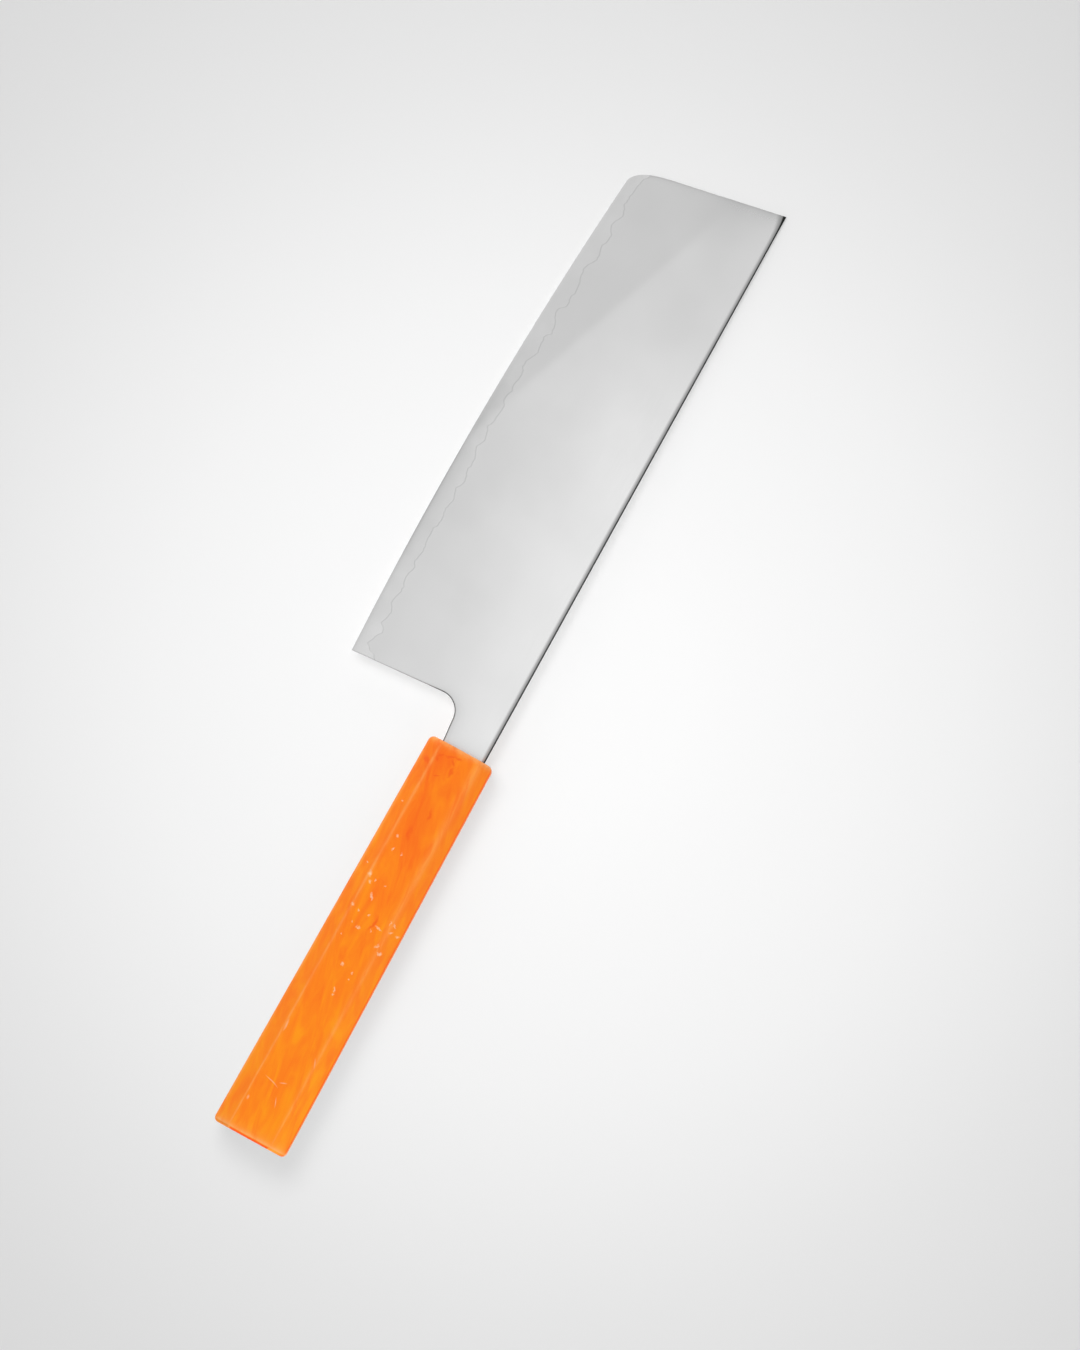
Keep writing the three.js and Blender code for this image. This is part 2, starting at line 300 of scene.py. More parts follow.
def finished_mesh(name, points, faces):
    """A mesh object of these points, laid down, with smooth faces and sharp edges only at real corners."""
    mesh = bpy.data.meshes.new(name)
    mesh.from_pydata(laid_down(points), [], faces.tolist())
    mesh.shade_smooth()
    mesh.set_sharp_from_angle(angle=corner_angle)
    piece = bpy.data.objects.new(name, mesh)
    bpy.context.scene.collection.objects.link(piece)
    return piece


def sheet_solid(name, top, bottom, has_point):
    """A closed piece between two grids of points: both grids as sheets, and a wall round every open edge.
    The top grid's columns run along x and its rows along y, so its faces look up."""
    columns, rows = has_point.shape
    number = np.arange(columns * rows).reshape(columns, rows)
    corners = [number[:-1, :-1], number[1:, :-1], number[1:, 1:], number[:-1, 1:]]
    whole = has_point[:-1, :-1] & has_point[1:, :-1] & has_point[1:, 1:] & has_point[:-1, 1:]
    quads = np.stack([corner[whole] for corner in corners], axis=1)
    starts = quads.ravel()
    ends = np.roll(quads, -1, axis=1).ravel()
    count = columns * rows
    open_edge = ~np.isin(starts * count + ends, ends * count + starts)
    walls = np.stack([ends, starts, starts + count, ends + count], axis=1)[open_edge]
    faces = np.concatenate([quads, quads[:, ::-1] + count, walls])
    points = np.concatenate([top.reshape(-1, 3), bottom.reshape(-1, 3)])
    used, renumbered = np.unique(faces, return_inverse=True)
    return finished_mesh(name, points[used], renumbered.reshape(faces.shape)), used


def add_values(piece, name, values):
    """Gives the piece a number at each vertex for its material to read."""
    attribute = piece.data.attributes.new(name, "FLOAT", "POINT")
    attribute.data.foreach_set("value", np.ascontiguousarray(values, dtype=np.float32))


band_rows = 9
far_off = 100.0


def core_side(shift):
    """One face of the core: flat from the spine to the wavy line, a step up there, then the bared band,
    whose rows go down to the honed bevel and the edge. Gives points, which of them exist, and their
    distances in millimetres below the line and above the edge, or far off where there is no band."""
    x, y, has_point = blade_plan(shift, 0)
    flat = np.stack([x, y, np.full_like(x, core_thickness / 2)], axis=-1)
    line = y[-len(blade_columns):, -1]
    low = meeting_y(blade_columns, edge_y)
    rise = (half_thickness(blade_x(blade_columns, low), low) - edge_flat / 2) / np.tan(edge_bevel)
    shoulder = np.maximum(low - rise, (line + low) / 2)
    shares = np.linspace(0, 1, band_rows)
    flank_y = line[:, None] + (shoulder - line)[:, None] * shares
    bevel_y = shoulder[:, None] + (low - shoulder)[:, None] * shares[1:]
    down = np.concatenate([flank_y, bevel_y], axis=1)
    across = blade_x(blade_columns[:, None], down)
    bared = np.minimum(half_thickness(across, down), np.maximum(honed_half(across, down), edge_flat / 2))
    band = np.stack([across, down, bared], axis=-1)
    missing = np.repeat(flat[: -len(blade_columns), -1:], band.shape[1], axis=1)
    points = np.concatenate([flat, np.concatenate([missing, band])], axis=1)
    in_band = np.s_[-len(blade_columns):, has_point.shape[1]:]
    has_band = np.zeros(points.shape[:2], bool)
    has_band[:, : has_point.shape[1]] = has_point
    has_band[in_band] = True
    below = np.zeros(points.shape[:2])
    below[in_band] = (down - line[:, None]) / mm
    above = np.full(points.shape[:2], far_off)
    above[in_band] = (low[:, None] - down) / mm
    return points, has_band, below, above


def border_distance(x, y):
    """How far a point lies inside the neck's, choil's and heel's outline."""
    from_choil = np.hypot(x - choil_x, y - choil_y) - choil_radius
    from_heel = (x - heel_x(y)) * np.cos(heel_rake)
    from_neck = (neck_low_y(np.minimum(x, choil_x), 0) - y) * np.cos(neck_rake)
    turn = np.arctan2(y - choil_y, x - choil_x)
    from_front = np.where(turn > neck_rake - np.pi / 2, from_choil, from_neck)
    return np.where(turn > heel_rake, from_heel, from_front)


lean_step = 0.05 * mm


def tip_distance(x, y):
    """How far a point lies behind the tip's outline, measured square to it."""
    lean = (tip_x(y + lean_step) - tip_x(y - lean_step)) / (2 * lean_step)
    return np.maximum(tip_x(y) - x, 0) / np.hypot(1, lean)


# How much painted shade and painted highlight the core's parts get: each pair gives places, and the share
# at each of them. Places along the blade and above the edge are in millimetres.
border_scale = 0.36 * mm
border_shade_reach = 1.5 * mm
border_levels = (neck_depth, choil_y, choil_y + choil_radius, heel_y)
border_line = (border_levels, (0.95, 1, 0.5, 0.25))
border_line_across = ((0, 0.5, 1), (1, 0.9, 0))
border_shade = (border_levels, (0.16, 0.14, 0.02, 0))


def border_dark(x, y):
    """How much painted shade and painted reflection darken the cut side: a thin dark line along neck, choil
    and heel, darkest in the choil, and a soft painted shade inside it at neck and choil."""
    inside = border_distance(x, y)
    line = np.interp(y, *border_line) * np.interp(inside / border_scale, *border_line_across)
    shade = np.interp(y, *border_shade) * np.exp(-np.maximum(inside, 0) / border_shade_reach)
    return np.maximum(line, shade)


core_shade_along = ((12, 32, 45, 90, 118), (0.42, 0.5, 1, 1, 0))
core_shade_above_edge = ((0, 1, 2, 3, 5), (0.18, 0.165, 0.13, 0.1, 0.07))
dark_line_along = ((60, 90), (0.07, 0))
dark_line_height = 0.35
dark_line_width = 0.3


def edge_dark(x, above_edge):
    """How much painted shade greys the bared core: a grey patch on its back half, thicker to the edge, with
    a thin dark line.
    """
    soft_shade = np.interp(x / mm, *core_shade_along) * np.interp(above_edge, *core_shade_above_edge)
    from_line = (above_edge - dark_line_height) / dark_line_width
    return soft_shade + np.interp(x / mm, *dark_line_along) * np.exp(-(from_line**2))


bright_along = ((70, 95), (0, 0.4))
bright_above_edge = ((0, 0.1, 0.3, 0.55), (0.3, 1, 0.6, 0))


def edge_light(x, above_edge):
    """How much painted highlight the bevel gets: a thin bright line along the front half of the edge."""
    return np.interp(x / mm, *bright_along) * np.interp(above_edge, *bright_above_edge)


core_top, core_has, below_upper, above_upper = core_side(0)
core_bottom, _, below_lower, above_lower = core_side(lower_face_shift)
core, core_used = sheet_solid("blade_core", core_top, core_bottom * [1, 1, -1], core_has)
core_points = np.concatenate([core_top.reshape(-1, 3), core_bottom.reshape(-1, 3)])[core_used]
add_values(core, "below_line", np.concatenate([below_upper.ravel(), below_lower.ravel()])[core_used])
above_edge = np.concatenate([above_upper.ravel(), above_lower.ravel()])[core_used]
# Painted highlight: a bright line along the front half of the edge.
add_values(core, "bright_share", edge_light(core_points[:, 0], above_edge))
# Painted shade and painted reflection on the core: along the cut sides and over the back of the edge.
cut_sides = border_dark(core_points[:, 0], core_points[:, 1])
edge_shade_share = edge_dark(core_points[:, 0], above_edge)
add_values(core, "painted_shade_share", np.maximum(cut_sides, edge_shade_share))


def linear(hex_colour):
    """An sRGB hex colour as linear red, green, blue and full alpha."""
    srgb = np.array([int(hex_colour[i:i + 2], 16) for i in (1, 3, 5)]) / 255
    rgb = np.where(srgb <= 0.04045, srgb / 12.92, ((srgb + 0.055) / 1.055) ** 2.4)
    return (*rgb.tolist(), 1.0)


def add_node(tree, kind, inputs=(), stops=(), **settings):
    """Adds a node of that kind with its settings; each input is a socket and its value or another's output,
    and each stop, on a colour ramp, a position and a colour."""
    node = tree.nodes.new("ShaderNode" + kind)
    for name, value in settings.items():
        setattr(node, name, value)
    for socket, value in dict(inputs).items():
        if isinstance(value, bpy.types.NodeSocket):
            tree.links.new(value, node.inputs[socket])
        else:
            node.inputs[socket].default_value = value
    for number, (position, colour) in enumerate(stops):
        ramp = node.color_ramp.elements
        stop = ramp[number] if number < 2 else ramp.new(position)
        stop.position = position
        stop.color = linear(colour)
    return node


def new_material(name):
    """An empty node material with its shader and the coordinates of the object."""
    material = bpy.data.materials.new(name)
    material.use_nodes = True
    tree = material.node_tree
    shader = tree.nodes["Principled BSDF"]
    place = add_node(tree, "TexCoord").outputs["Object"]
    return material, tree, shader, place


# Carbon steel, honed on fine stones: about as pale as the layers beside it, with a soft cloudy grain, a
# faint shade on the wavy line, painted shade along the cut sides and in a grey patch towards the heel, and
# a painted highlight along the front edge.
core_steel, tree, shader, place = new_material("honed_carbon_steel")
cloud = add_node(tree, "TexNoise", {"Vector": place, "Scale": 1 / (9 * mm), "Detail": 3, "Roughness": 0.55})
cloudy = add_node(
    tree, "ValToRGB", {"Fac": cloud.outputs["Fac"]}, stops=((0.35, "#EDEDED"), (0.65, "#F2F2F2"))
)
below = add_node(tree, "Attribute", attribute_name="below_line")
line = add_node(
    tree,
    "ValToRGB",
    {"Fac": below.outputs["Fac"]},
    stops=((0, "#D8D8D8"), (1, "#FFFFFF"), (0.16, "#F8F8F8"), (0.4, "#FFFFFF")),
)
line_strength = 0.7
marked = add_node(
    tree,
    "Mix",
    {0: line_strength, 6: cloudy.outputs["Color"], 7: line.outputs["Color"]},
    data_type="RGBA",
    blend_type="MULTIPLY",
)
# Painted highlight: the bevel turns brighter, up to white, by this attribute's share.
bevel_highlight = add_node(tree, "Attribute", attribute_name="bright_share")
highlighted = add_node(
    tree, "Mix", {0: bevel_highlight.outputs["Fac"], 6: marked.outputs[2], 7: linear("#FFFFFF")}, data_type="RGBA"
)
# Painted shade and painted reflection: the steel turns dark grey by this attribute's share.
painted_shade = add_node(tree, "Attribute", attribute_name="painted_shade_share")
shade_mixed = add_node(
    tree, "Mix", {0: painted_shade.outputs["Fac"], 6: highlighted.outputs[2], 7: linear("#3A3D3C")}, data_type="RGBA"
)
tree.links.new(shade_mixed.outputs[2], shader.inputs["Base Color"])
haze = add_node(tree, "MapRange", {"Value": cloud.outputs["Fac"], "To Min": 0.12, "To Max": 0.18})
tree.links.new(haze.outputs[0], shader.inputs["Roughness"])
shader.inputs["Metallic"].default_value = 1
core.data.materials.append(core_steel)
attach(core, "root")
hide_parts("core_steel")

# Cladding: a layer of soft stainless steel on each side of the core, from the wavy line up to the spine and
# back along the tang. It is ground to the blade's wedge and satin finished; its arrises are eased by hand.

layer_gap = 0.02 * mm
least_thickness = 0.004 * mm
arris_easing = 0.22 * mm
tip_fall_reach = 3.2 * mm
tip_fall = 0.035 * mm
# Shares of the cladding's thickness: the most that easing and fall take, and the least that is left.
most_easing = 0.7
most_fall = 0.3
least_left = 0.2


def eased(distance, reach):
    """The fall of a quarter round at a distance from the border: all there, none from its reach on."""
    short = np.clip(1 - distance / reach, 0, 1)
    return 1 - np.sqrt(1 - short**2)


def cladding_side(shift):
    """One cladding: its outer face is the ground flank, round at the spine, eased along its borders and
    falling away a little to the tip; its inner face lies flat on the core. Gives both faces, which of
    their points exist, and their distances in millimetres above the line."""
    x, y, has_point = blade_plan(shift, layer_gap)
    inner = np.full_like(x, core_thickness / 2 + layer_gap)
    flank = half_thickness(x, y)
    rounded = len(rounding_turns)
    at_round = half_thickness(x[:, :1], spine_rounding - spine_offset)
    flat_share = 1 - 2 * spine_rounding / spine_thickness
    flank[:, :rounded] = at_round * (flat_share + (1 - flat_share) * np.sin(rounding_turns))
    thickness = np.maximum(flank - inner, least_thickness)
    to_tip = tip_distance(x, y)
    fall = tip_fall * np.clip(1 - to_tip / tip_fall_reach, 0, 1) ** 2
    near_border = np.maximum(eased(border_distance(x, y), arris_easing), eased(to_tip, arris_easing))
    taken = np.minimum(arris_easing, most_easing * thickness) * near_border
    taken = taken + np.minimum(fall, most_fall * thickness)
    outer = inner + np.maximum(thickness - taken, least_left * thickness)
    above = np.full_like(x, far_off)
    above[-len(blade_columns):] = (y[-len(blade_columns):, -1:] - y[-len(blade_columns):]) / mm
    return np.stack([x, y, outer], axis=-1), np.stack([x, y, inner], axis=-1), has_point, above


# Where painted shade and painted reflection darken the cladding: reaches from its borders, and again pairs
# of places and shares.
spine_scale = 1.15 * mm
corner_scale = 2 * mm
corner_reach = 2.4 * mm
spine_dark = ((0, 0.25, 0.34, 0.74, 1.2), (1, 0.98, 0.6, 0.42, 0))
tip_scale = 0.5 * mm
tip_dark = ((-spine_offset, edge_depth), (0.1, 0.3))
tip_shade_reach = 15 * mm
tip_shade_strength = 0.2
tip_shade_middle = 5 * mm
tip_shade_width = 8 * mm
corner_shade_reach = 3.5 * mm
corner_shade_across = ((-3 * mm, 3 * mm), (0.2, 0))
edge_shade_along = ((60 * mm, 110 * mm), (0.072, 0))
edge_shade_across = ((26 * mm, 37 * mm), (0, 1))
handle_shade_reach = 1.6 * mm
handle_shade = 0.16


def cladding_dark(x, y):
    """How much painted shade and painted reflection darken a cladding: full on the outer part of the
    spine's rounding and half on the inner part, which reaches further in at the tip; a thin line on the cut
    sides; a painted shade behind the tip, strongest near the spine, and one above the back of the edge; and
    a faint painted shade along tip and handle."""
    to_tip = tip_distance(x, y)
    from_spine = (y + spine_offset) / (spine_scale + corner_scale * np.exp(-to_tip / corner_reach))
    on_spine = np.interp(from_spine, *spine_dark)
    on_tip = np.interp(y, *tip_dark) * np.exp(-to_tip / tip_scale)
    across = np.exp(-(((y - tip_shade_middle) / tip_shade_width) ** 2))
    soft_shade = tip_shade_strength * np.exp(-to_tip / tip_shade_reach) * across
    corner_shade = np.interp(y, *corner_shade_across) * np.exp(-to_tip / corner_shade_reach)
    edge_shade = np.interp(x, *edge_shade_along) * np.interp(y, *edge_shade_across)
    by_handle = handle_shade * np.exp(-np.maximum(x, 0) / handle_shade_reach)
    painted_dark = soft_shade + corner_shade + edge_shade + on_tip
    return np.maximum.reduce([on_spine, border_dark(x, y), painted_dark, by_handle])


# Stainless steel, ground and then satin finished along the blade: pale grey and evenly bright, with a faint
# lengthwise grain and slow changes of haze, and painted shade and painted reflection that darken and
# roughen it on the spine's rounding, on the cut sides, behind the tip, above the edge and by the handle.
# The scratches are under 0.1 mm wide and are drawn coarser to show.
cladding_steel, tree, shader, place = new_material("satin_stainless_steel")
cloud = add_node(tree, "TexNoise", {"Vector": place, "Scale": 1 / (24 * mm), "Detail": 2, "Roughness": 0.5})
lengthwise = add_node(tree, "Mapping", {"Vector": place, "Scale": (0.06, 1, 1)})
grain = add_node(tree, "TexNoise", {"Vector": lengthwise.outputs[0], "Scale": 1 / (0.5 * mm), "Detail": 2})
cloudy = add_node(
    tree, "ValToRGB", {"Fac": cloud.outputs["Fac"]}, stops=((0.3, "#EAEAEA"), (0.7, "#F0F0F0"))
)
above = add_node(tree, "Attribute", attribute_name="above_line")
shade = add_node(
    tree, "MapRange", {"Value": above.outputs["Fac"], "From Max": 0.25, "To Min": 0.15, "To Max": 0}
)
marked = add_node(
    tree, "Mix", {0: shade.outputs[0], 6: cloudy.outputs["Color"], 7: linear("#989898")}, data_type="RGBA"
)
# Painted shade and painted reflection: the steel turns dark grey, and rougher, by this attribute's share.
painted_shade = add_node(tree, "Attribute", attribute_name="painted_shade_share")
shade_mixed = add_node(
    tree, "Mix", {0: painted_shade.outputs["Fac"], 6: marked.outputs[2], 7: linear("#3A3D3C")}, data_type="RGBA"
)
tree.links.new(shade_mixed.outputs[2], shader.inputs["Base Color"])
haze = add_node(tree, "MapRange", {"Value": grain.outputs["Fac"], "To Min": 0.1, "To Max": 0.17})
painted_shade_roughness = 0.8
dulled = add_node(
    tree,
    "Math",
    {0: painted_shade.outputs["Fac"], 1: painted_shade_roughness, 2: haze.outputs[0]},
    operation="MULTIPLY_ADD",
    use_clamp=True,
)
tree.links.new(dulled.outputs[0], shader.inputs["Roughness"])
shader.inputs["Metallic"].default_value = 1
relief = add_node(tree, "Bump", {"Height": grain.outputs["Fac"], "Strength": 0.06, "Distance": 0.02 * mm})
tree.links.new(relief.outputs[0], shader.inputs["Normal"])

for name, shift, side in (("upper_cladding", 0, 1), ("lower_cladding", lower_face_shift, -1)):
    outer, inner, has_point, above_line = cladding_side(shift)
    faces_up = (outer, inner) if side > 0 else (inner * [1, 1, -1], outer * [1, 1, -1])
    cladding, cladding_used = sheet_solid("blade_" + name, *faces_up, has_point)
    add_values(cladding, "above_line", np.tile(above_line.ravel(), 2)[cladding_used])
    # Painted shade and painted reflection on this cladding.
    painted_shade_left = cladding_dark(outer[..., 0], outer[..., 1])
    add_values(cladding, "painted_shade_share", np.tile(painted_shade_left.ravel(), 2)[cladding_used])
    cladding.data.materials.append(cladding_steel)
    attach(cladding, "root")
    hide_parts(name)

# Bed: the cured adhesive round the tang. It was poured into the handle's slot, and shows only as a narrow
# line round the neck where it ends flush with the handle's front face.

# Cured epoxy, wiped level: cloudy, tinted by the plastic round it, half matt.
cured_epoxy, tree, shader, place = new_material("cured_epoxy")
cloud = add_node(tree, "TexNoise", {"Vector": place, "Scale": 1 / (2.5 * mm), "Detail": 2})
cloudy = add_node(tree, "ValToRGB", {"Fac": cloud.outputs["Fac"]}, stops=((0, "#FFB27C"), (1, "#FFC394")))
tree.links.new(cloudy.outputs["Color"], shader.inputs["Base Color"])
shader.inputs["Roughness"].default_value = 0.45
shader.inputs["IOR"].default_value = 1.55
bed = frame["nodes"]["tang_adhesive"]
bed.data.materials.clear()
bed.data.materials.append(cured_epoxy)

# Handle: one octagonal block of marbled orange plastic, pressed from melted offcuts, so its colours run
# along it. Its facets were planed and sanded by hand, its arrises and ends eased, and a slot was cut in
# it for the tang.

handle_length = 131.5 * mm
butt_size = np.array([24, 20]) * mm
front_size = np.array([21.1, 17.5]) * mm
butt_chamfer = 4.9 * mm
front_chamfer = 4 * mm
butt_arris = 0.55 * mm
front_arris = 1.15 * mm
butt_rounding = 0.95 * mm
butt_corner = 1.6 * mm
front_rounding = 1.7 * mm
bed_thickness = 0.6 * mm
bed_at_tang_end = 3 * mm
# Waves that the plane left: height and length in millimetres, and the shift in turns to the next facet.
facet_waves = np.array([(0.05, 47, 1.3), (0.035, 21, 2.9)])
planed_from_arris = 2.5 * mm
arris_points = 7
facet_points = 12
end_turns = 9
body_rings = 220


def octagon(x, inset):
    """The handle's section at each x with its sides moved in: eight rounded corners and, between them,
    points along the facets. Gives y, z of each point and its distance round to the nearest arris."""
    back = (-x / handle_length)[:, None]
    half = (front_size + (butt_size - front_size) * back) / 2
    arris = front_arris + (butt_arris - front_arris) * back[:, 0]
    moved = inset + arris
    cut = front_chamfer + (butt_chamfer - front_chamfer) * back[:, 0] - moved * (2 - np.sqrt(2))
    y, z = (half - moved[:, None]).T
    corner_y = np.stack([y, y - cut, cut - y, -y, -y, cut - y, y - cut, y], axis=1)
    corner_z = np.stack([z - cut, z, z, z - cut, cut - z, -z, -z, cut - z], axis=1)
    turn = np.pi / 4 * (np.arange(8)[:, None] + np.linspace(0, 1, arris_points))
    arc_y = corner_y[..., None] + arris[:, None, None] * np.cos(turn)
    arc_z = corner_z[..., None] + arris[:, None, None] * np.sin(turn)
    arcs = np.stack([arc_y, arc_z], axis=-1)
    shares = (1 - np.cos(np.linspace(0, np.pi, facet_points + 2)))[1:-1, None] / 2
    begin = arcs[:, :, -1:, :]
    span = np.roll(arcs, -1, axis=1)[:, :, :1, :] - begin
    facets = begin + span * shares
    ring = np.concatenate([arcs, facets], axis=2).reshape(len(x), -1, 2)
    half_turn = np.abs(np.linspace(-0.5, 0.5, arris_points)) * np.pi / 4
    on_arc = np.tile(arris[:, None, None] * half_turn, (1, 8, 1))
    near_end = np.minimum(shares, 1 - shares)[:, 0]
    on_facet = np.linalg.norm(span, axis=-1) * near_end + (arris * np.pi / 8)[:, None, None]
    return ring, np.concatenate([on_arc, on_facet], axis=2).reshape(len(x), -1)


def slot_ring(x, ring):
    """The slot's rectangle at x: the section's own points, held within the tang's outline and its bed."""
    along_tang = -x / tang_length
    top = spine_thickness / 2 + bed_thickness
    spine_side = -spine_offset + (spine_offset - tang_end_height / 2) * along_tang - bed_thickness
    edge_side = neck_depth + (tang_end_height / 2 - neck_depth) * along_tang + bed_thickness
    return np.stack([np.clip(ring[:, 0], spine_side, edge_side), np.clip(ring[:, 1], -top, top)], axis=-1)


turns = np.linspace(0, np.pi / 2, end_turns)
body_x = np.linspace(butt_rounding - handle_length, -front_rounding, body_rings)[1:-1]
butt_x = butt_rounding * (1 - np.cos(turns)) - handle_length
front_x = -front_rounding * (1 - np.cos(turns[::-1]))
ring_x = np.concatenate([butt_x, body_x, front_x])
butt_inset = butt_rounding * (1 - np.sin(turns))
front_inset = front_rounding * (1 - np.sin(turns[::-1]))
ring_inset = np.concatenate([butt_inset, np.zeros(len(body_x)), front_inset])
ring, from_arris = octagon(ring_x, ring_inset)
# Seen from above, the corners of the butt are rounder than its upper and lower rims.
near_butt = np.clip(butt_corner - handle_length - ring_x, 0, None)
corner_inset = butt_corner - np.sqrt(butt_corner**2 - near_butt**2)
narrowed = (near_butt > 0) * (ring_inset - corner_inset) / ring[..., 0].max(axis=1)
ring[..., 0] *= 1 + narrowed[:, None]

facet_number = np.arange(ring.shape[1]) // (ring.shape[1] // 8)
hand_planed = np.zeros(ring.shape[:2])
for wave_height, wave_length, phase in facet_waves:
    turns_along = ring_x[:, None] / (wave_length * mm) + facet_number * phase
    hand_planed += wave_height * mm * np.sin(2 * np.pi * turns_along)
full_width = np.clip(from_arris / planed_from_arris, 0, 1) * (ring_inset == 0)[:, None]
ring_out = ring / np.linalg.norm(ring, axis=-1, keepdims=True)
ring = ring - ring_out * (hand_planed * full_width)[..., None]
sides = np.concatenate([np.repeat(ring_x[:, None, None], ring.shape[1], axis=1), ring], axis=-1)

# The arrises are paler, part wear and part painted highlight, the arris between the top and the spine's
# chamfer widest; the rims of both ends and the front face are painted paler as painted highlight. Painted
# shade deepens the colour along the arris below that chamfer and on the butt's end face and upper rim.
# Facets and arrises are counted round from the edge's side over the top: the top facet is 1 and the shaded
# arris 3.
arris_pale_at_butt = np.array([0.7, 0.3, 0.35, 0.1, 0.4, 0.4, 0.4, 0.4]) * mm
arris_pale_at_front = np.array([0.8, 0.55, 1.3, 0.1, 0.7, 0.7, 0.7, 0.7]) * mm
arris_pale_strength = np.array([0.75, 0.6, 0.4, 0, 0.5, 0.5, 0.5, 0.5])
front_highlight_reach = 1.3 * mm
butt_rim = 1.1 * mm
rim_highlight_strength = 1.6
rim_width = 0.32 * mm
past_rim_highlight_strength = 0.4
past_rim_reach = 1.3 * mm
step_round = np.arange(ring.shape[1]) % (arris_points + facet_points)
nearest_arris = (facet_number + (step_round >= arris_points + facet_points // 2)) % 8
back = (-ring_x / handle_length)[:, None]
arris_pale_reach = (arris_pale_at_front + (arris_pale_at_butt - arris_pale_at_front) * back)[:, nearest_arris]
worn_and_highlit_arrises = arris_pale_strength[nearest_arris] * np.exp(-((from_arris / arris_pale_reach) ** 2))
front_highlight = np.exp(-((ring_x / front_highlight_reach) ** 2))
from_rim = ring_x + handle_length - butt_rim
rim_highlight = rim_highlight_strength * np.exp(-((from_rim / rim_width) ** 2))
past_rim_highlight = (from_rim > 0) * past_rim_highlight_strength * np.exp(-from_rim / past_rim_reach)
worn_and_highlit_sides = np.maximum(worn_and_highlit_arrises, np.maximum(front_highlight, rim_highlight + past_rim_highlight)[:, None])


def end_ring(x, outline):
    """One more ring of the handle: an outline in y and z set at x."""
    return np.concatenate([np.full((len(outline), 1), x), outline], axis=1)


butt_shares = (0, 0.35, 0.7, 0.93)
front_shares = (0.93, 0.6, 0.25, 0)
butt_rings = [end_ring(-handle_length, ring[0] * share) for share in butt_shares]
slot_end = -tang_length - bed_at_tang_end
mouth = slot_ring(0, ring[-1])
bottom = slot_ring(slot_end, ring[-1])
front_rings = [end_ring(0, mouth + (ring[-1] - mouth) * share) for share in front_shares]
bottom_middle = np.tile(bottom.mean(axis=0), (len(bottom), 1))
slot_rings = [end_ring(slot_end, bottom), end_ring(slot_end, bottom_middle)]
rings = np.concatenate([butt_rings, sides, front_rings + slot_rings])
on_sides = slice(len(butt_rings), len(butt_rings) + len(sides))
worn_and_highlit = np.zeros(rings.shape[:2])
worn_and_highlit[on_sides] = worn_and_highlit_sides
# The front face is painted pale all over: painted light on a face that turns away from the lamps.
worn_and_highlit[-len(front_rings + slot_rings):-len(slot_rings)] = 1
top_facet = 1
shaded_arris = 3
shaded_arris_reach = 0.5 * mm
painted_shade_on_butt = 0.4
painted_shade_rim = ((0, 0.5 * mm, 0.75 * mm), (1, 1, 0))
# Painted shade: a deeper, redder orange along the arris below the spine's chamfer, on the butt's end face
# and at its upper rim, where they turn from the light.
painted_handle_shade = np.zeros(rings.shape[:2])
painted_handle_shade[:len(butt_rings)] = painted_shade_on_butt
along_arris = (nearest_arris == shaded_arris) * np.exp(-((from_arris / shaded_arris_reach) ** 2))
on_top = (facet_number == top_facet) & (step_round >= arris_points)
along_rim = on_top * np.interp(ring_x + handle_length, *painted_shade_rim)[:, None]
painted_handle_shade[on_sides] = np.maximum(along_arris, along_rim)
number = np.arange(rings.shape[0] * rings.shape[1]).reshape(rings.shape[:2])
following = np.roll(number, -1, axis=1)
handle_faces = np.stack([number[:-1], following[:-1], following[1:], number[1:]], axis=-1)
handle = finished_mesh("octagonal_handle", rings.reshape(-1, 3), handle_faces.reshape(-1, 4))
# Shares of wear and painted highlight, then of painted shade, at each vertex.
add_values(handle, "worn_and_highlit", worn_and_highlit.ravel())
add_values(handle, "painted_handle_shade", painted_handle_shade.ravel())
same_place = 1e-7
handle_shape = bmesh.new()
handle_shape.from_mesh(handle.data)
bmesh.ops.remove_doubles(handle_shape, verts=handle_shape.verts, dist=same_place)
bmesh.ops.dissolve_degenerate(handle_shape, edges=handle_shape.edges, dist=same_place)
handle_shape.to_mesh(handle.data)
handle_shape.free()

# Marbled plastic, pressed from melted offcuts and sanded: warm orange, redder to the front and yellower to
# the spine's side, in soft streaks along the handle, with darker curls by the front end, a drift of pale
# flecks, a few thin pale scratches near the butt, paler arrises and end rims, part wear and part painted
# highlight, and painted shade in a deeper orange on the shaded arris and the butt. Its sheen is soft.
marbled_plastic, tree, shader, place = new_material("marbled_pressed_plastic")
slanted = add_node(
    tree,
    "Mapping",
    {"Vector": place, "Rotation": (0, 0, np.radians(12)), "Scale": (4.2, 1, 1.2)},
    vector_type="TEXTURE",
)


def wandering(tree, coordinates, size, detail, push):
    """Coordinates moved to and fro by a noise of that size and detail, by a push along each axis."""
    noise = add_node(
        tree, "TexNoise", {"Vector": coordinates, "Scale": 1 / size, "Detail": detail}, normalize=False
    )
    moved = {0: noise.outputs["Color"], 1: push, 2: coordinates}
    return add_node(tree, "VectorMath", moved, operation="MULTIPLY_ADD").outputs[0]


